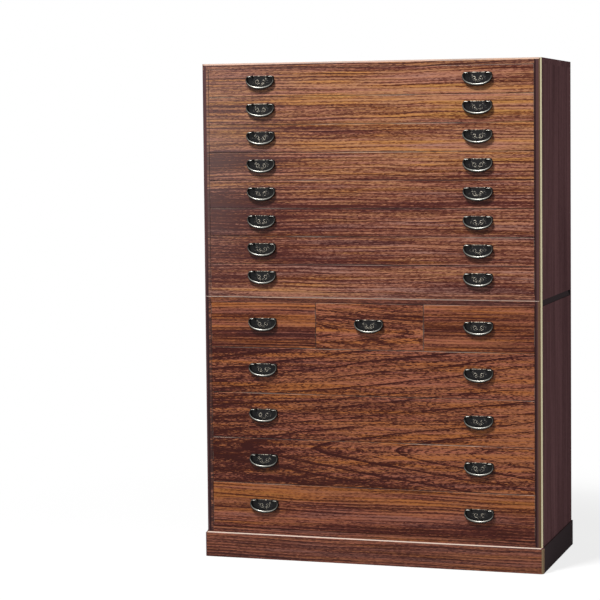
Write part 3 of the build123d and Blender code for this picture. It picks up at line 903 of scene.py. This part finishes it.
def plate_surface(sizes, columns=121, rows=49):
    """The front of the plate, and how much gilding is left at each point.

    A flat ground carries the scrolls, and a round bead, half a circle in section, runs along its edge.
    The gilding is left on the scrolls, most of all the inner ones, and on the top bead between the posts.
    """
    half = sizes.plate_width / MM / 2
    across = half * np.sin(np.linspace(-np.pi / 2, np.pi / 2, columns))
    upper, lower = plate_outline(sizes, across)
    down = (1 - np.cos(np.linspace(0, np.pi, rows))) / 2
    x = np.broadcast_to(across, (rows, columns))
    z = upper + (lower - upper) * down[:, None]
    from_edge = np.minimum(np.minimum(upper - z, z - lower), half - np.abs(x))
    rim = sizes.rim / MM
    bead = np.sqrt(np.clip(1 - ((from_edge - rim) / rim) ** 2, 0, 1)) * (from_edge < 2 * rim)
    scrolls = scroll_relief(x, z) * np.clip((from_edge - 2 * rim) / 1.5, 0, 1)
    height = sizes.plate_ground / MM + sizes.relief / MM * np.maximum(bead * 0.9, scrolls)
    kept = scrolls * np.exp(-((np.abs(x) - 8) / 15) ** 2 - ((z + 4) / 13) ** 2)
    level = (upper - z < 1.2 * rim) & (np.abs(x) < sizes.post_spacing / MM / 2 - 3)
    return x, height, z, np.maximum(kept, level * 0.5)


def cap_surface(sizes, reach, around=28):
    """The cap of a post: a squarish oval carried out of the plate along a profile.

    The profile leaves the plate at the collar, steps in to the post and closes in a quarter circle.
    """
    ground, collar, bulge = sizes.plate_ground / MM, sizes.collar / MM, 1.2
    dome = np.linspace(0, np.pi / 2, 9)
    inset = np.concatenate([[-collar, -collar, 0.4 - collar, 0], bulge * (1 - np.cos(dome))])
    steps = [0, ground + 0.5, ground + 1.0, ground + 1.1]
    out = np.concatenate([steps, reach - bulge * (1 - np.sin(dome))])
    turned = np.linspace(0, 2 * np.pi, around, endpoint=False)
    squared = [np.sign(way) * np.abs(way) ** CAP_SECTION for way in (np.cos(turned), np.sin(turned))]
    x = (sizes.cap_width / MM - inset)[:, None] * squared[0]
    z = (sizes.cap_height / MM - inset)[:, None] * squared[1]
    return x, np.broadcast_to(out[:, None], x.shape), z


# ---- operators


class CHEST_OT_wood(Operator):
    """Stain the fronts and the outside of both cases, and leave the rest plain wood."""

    bl_idname = "chest.wood"
    bl_label = "Wood finishes"

    def execute(self, context):
        finishes = context.scene.chest_finishes
        upper = finishes.upper_dark, finishes.upper_middle, finishes.upper_light
        lower = finishes.lower_dark, finishes.lower_middle, finishes.lower_light
        upper_boards = "upper_top_board", "upper_bottom_board"
        upper_sides = "upper_left_side", "upper_right_side"
        lower_boards = "lower_top_board", "lower_bottom_board", "plinth_front"
        lower_sides = "lower_left_side", "lower_right_side", "plinth_left", "plinth_right"
        stained = [
            (UPPER_DRAWERS, front_finish("upper_front_stain", UPPER_FIGURE, upper, True)),
            (LOWER_DRAWERS[:-1], front_finish("lower_front_stain", LOWER_FIGURE, lower, True)),
            (LOWER_DRAWERS[-1:], front_finish("bottom_front_stain", BOTTOM_FIGURE, lower, True)),
            (upper_boards, front_finish("upper_board_stain", UPPER_FIGURE, upper)),
            (lower_boards, front_finish("lower_board_stain", BOARD_FIGURE, lower)),
            (upper_sides, side_finish("upper_side_stain", UPPER_FIGURE, upper)),
            (lower_sides, side_finish("lower_side_stain", LOWER_FIGURE, lower)),
        ]
        for name, figure in zip(SMALL_DRAWERS, SMALL_FIGURES):
            stained.append(((name,), front_finish(name + "_stain", figure, lower, True)))
        chosen = {name: finish for names, finish in stained for name in names}
        plain = plain_finish()
        for name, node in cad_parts.items():
            if name in BAILS:
                continue
            for slot in node.material_slots:
                slot.material = chosen.get(name, plain)
            if not node.material_slots:
                node.data.materials.append(chosen.get(name, plain))
        return {"FINISHED"}


class CHEST_OT_plates(Operator):
    """Lay a half-moon plate with raised scrolls behind each bail."""

    bl_idname = "chest.plates"
    bl_label = "Plates"

    def execute(self, context):
        sizes = context.scene.chest_handles
        x, out, z, kept = plate_surface(sizes)
        index = np.arange(x.size).reshape(x.shape)
        border = np.concatenate([index[0, :-1], index[:-1, -1], index[-1, :0:-1], index[:0:-1, 0]])
        back = x.size + np.arange(border.size)
        walls = np.stack([border, back, np.roll(back, -1), np.roll(border, -1)], -1)
        faces = grid_quads(*x.shape)[:, ::-1].tolist() + walls[:, ::-1].tolist() + [back.tolist()]
        gilding = np.concatenate([kept.ravel(), np.zeros(border.size)])
        finish = plate_finish()
        for handle in map(Handle, BAILS):
            front = handle.placed(x, out, z)
            behind = front[border] * [1, 0, 1] + [0, handle.origin[1], 0]
            points = np.concatenate([front, behind])
            name = handle.node.replace("bail", "plate")
            add_piece(name, points, faces, finish, handle.drawer, "gilding", gilding)
        return {"FINISHED"}


class CHEST_OT_caps(Operator):
    """Set the capped posts of each handle."""

    bl_idname = "chest.caps"
    bl_label = "Posts"

    def execute(self, context):
        sizes = context.scene.chest_handles
        x, out, z = cap_surface(sizes, (FRONT_FACE - FOREMOST) / MM)
        pivot = (sizes.bail_rise - sizes.arm / 2) / MM
        places = [side * sizes.post_spacing / MM / 2 for side in (-1, 1)]
        left = [face[::-1] for face in tube_faces(*x.shape)]
        right = [[corner + x.size for corner in face] for face in left]
        finish = bail_finish()
        for handle in map(Handle, BAILS):
            points = np.concatenate([handle.placed(x + place, out, z + pivot) for place in places])
            name = handle.node.replace("bail", "posts")
            # A little bright metal all over each cap: part wear, part painted highlight.
            worn = np.full(len(points), 0.15)
            add_piece(name, points, left + right, finish, handle.drawer, "worn", worn)
        return {"FINISHED"}


class CHEST_OT_bails(Operator):
    """Hang a cast crescent bail in place of each plain one."""

    bl_idname = "chest.bails"
    bl_label = "Bails"

    def execute(self, context):
        x, out, z, worn = bail_surface(context.scene.chest_handles)
        faces = tube_faces(*x.shape)
        finish = bail_finish()
        for handle in map(Handle, BAILS):
            points = handle.placed(x, out, z)
            name = handle.node.replace("bail", "cast_bail")
            piece = add_piece(name, points, faces, finish, handle.node, "worn", worn)
            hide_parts(handle.node)
        return {"FINISHED"}


WHITE = (1.0, 1.0, 1.0)
FLOOR_SEEN = (0.95, 0.95, 0.95)     # the floor's colour to the eye
FLOOR_LIT = (0.30, 0.30, 0.30)      # its colour to the light that it throws back on the chest
FLOOR_FADE = (0.7, 1.8)             # metres from the middle over which it turns white


class CHEST_OT_stage(Operator):
    """Set out the floor, the lamps, the white surroundings and the camera."""

    bl_idname = "chest.stage"
    bl_label = "Stage"

    def execute(self, context):
        stage = context.scene.chest_stage
        context.scene.view_settings.view_transform = "Standard"
        self.add_floor(stage)
        self.add_surroundings(context.scene, stage)
        for name in ("key", "fill", "side"):
            self.add_lamp(stage, name)
        self.add_camera(context.scene, stage)
        return {"FINISHED"}

    def add_floor(self, stage):
        """A pale floor that keeps the shadow and turns into the white surroundings further out."""
        half = stage.floor_size / 2
        mesh = bpy.data.meshes.new("floor")
        corners = [(-half, -half, 0), (half, -half, 0), (half, half, 0), (-half, half, 0)]
        mesh.from_pydata(corners, [], [(0, 1, 2, 3)])
        finish = Finish("floor")
        x, y = finish.place()[:2]
        away = (x * x + y * y).root().within(*FLOOR_FADE)
        away = away * (1 - stage.floor_white) + stage.floor_white
        seen = seen_directly(finish)
        pale = finish.node("ShaderNodeBsdfDiffuse", {}, {"Color": finish.mix(seen, FLOOR_LIT, FLOOR_SEEN)})
        white = finish.node("ShaderNodeEmission", {}, {"Color": WHITE, "Strength": 1.0})
        shader = finish.node("ShaderNodeMixShader", {}, {0: away * seen, 1: pale, 2: white})
        finish.node("ShaderNodeOutputMaterial", {}, {"Surface": shader})
        mesh.materials.append(finish.material)
        floor = add_object("floor", mesh)

    def add_surroundings(self, scene, stage):
        """White where they are seen or mirrored, and an even plain light elsewhere."""
        scene.world = bpy.data.worlds.new("surroundings")
        scene.world.use_nodes = True
        finish = Finish(tree=scene.world.node_tree)
        light = finish.node("ShaderNodeBackground", {}, {"Color": WHITE, "Strength": stage.ambient})
        white = finish.node("ShaderNodeBackground", {}, {"Color": WHITE, "Strength": 1.0})
        shader = finish.node("ShaderNodeMixShader", {}, {0: seen_directly(finish), 1: light, 2: white})
        finish.node("ShaderNodeOutputWorld", {}, {"Surface": shader})

    def add_lamp(self, stage, name):
        """A square soft lamp aimed at the middle of the chest."""
        lamp = bpy.data.lights.new(name + "_lamp", "AREA")
        lamp.energy = getattr(stage, name)
        lamp.size = getattr(stage, name + "_size")
        lamp_object = add_object(name + "_lamp", lamp)
        place = Vector(getattr(stage, name + "_place"))
        away = Vector((0, 0, TOP / 2)) - place
        lamp_object.location = place
        lamp_object.rotation_euler = away.to_track_quat("-Z", "Y").to_euler()
        lamp_object.visible_camera = False

    def add_camera(self, scene, stage):
        """The camera, whose turn is given from a level view along Y."""
        camera = bpy.data.cameras.new("camera")
        camera.sensor_width = 36
        camera.lens = stage.lens
        camera.shift_x, camera.shift_y = stage.shift
        camera_object = add_object("camera", camera)
        turn = Euler([radians(angle) for angle in stage.camera_turn], "XYZ").to_matrix()
        level = Euler((radians(90), 0, 0)).to_matrix()
        camera_object.matrix_world = (turn @ level).to_4x4()
        camera_object.location = stage.camera_place
        scene.camera = camera_object


def seen_directly(finish):
    """1 for a ray from the camera, a mirror or glass, 0 for light on its way to a matt surface."""
    rays = [
        finish.node("ShaderNodeLightPath", {}, {}, kind)
        for kind in ("Is Camera Ray", "Is Glossy Ray", "Is Transmission Ray")
    ]
    return rays[0].highest(rays[1]).highest(rays[2])


class CHEST_PT_sidebar(Panel):
    """The chest's pieces and sizes in the 3D view's sidebar."""

    bl_idname = "CHEST_PT_sidebar"
    bl_label = "Clothing Chest"
    bl_space_type = "VIEW_3D"
    bl_region_type = "UI"
    bl_category = "Chest"

    def draw(self, context):
        for operator in OPERATORS:
            self.layout.operator(operator.bl_idname)
        for group in GROUPS:
            settings = getattr(context.scene, group)
            for name in settings.__annotations__:
                self.layout.prop(settings, name)


GROUPS = {"chest_handles": ChestHandles, "chest_finishes": ChestFinishes, "chest_stage": ChestStage}
OPERATORS = (CHEST_OT_wood, CHEST_OT_plates, CHEST_OT_caps, CHEST_OT_bails, CHEST_OT_stage)
KINDS = (*GROUPS.values(), *OPERATORS, CHEST_PT_sidebar)


def register():
    for kind in KINDS:
        bpy.utils.register_class(kind)
    for name, group in GROUPS.items():
        setattr(bpy.types.Scene, name, PointerProperty(type=group))


def unregister():
    for name in GROUPS:
        delattr(bpy.types.Scene, name)
    for kind in reversed(KINDS):
        bpy.utils.unregister_class(kind)


def main():
    register()
    bpy.ops.chest.wood()
    bpy.ops.chest.plates()
    bpy.ops.chest.caps()
    bpy.ops.chest.bails()
    bpy.ops.chest.stage()


if __name__ == "__main__":
    main()
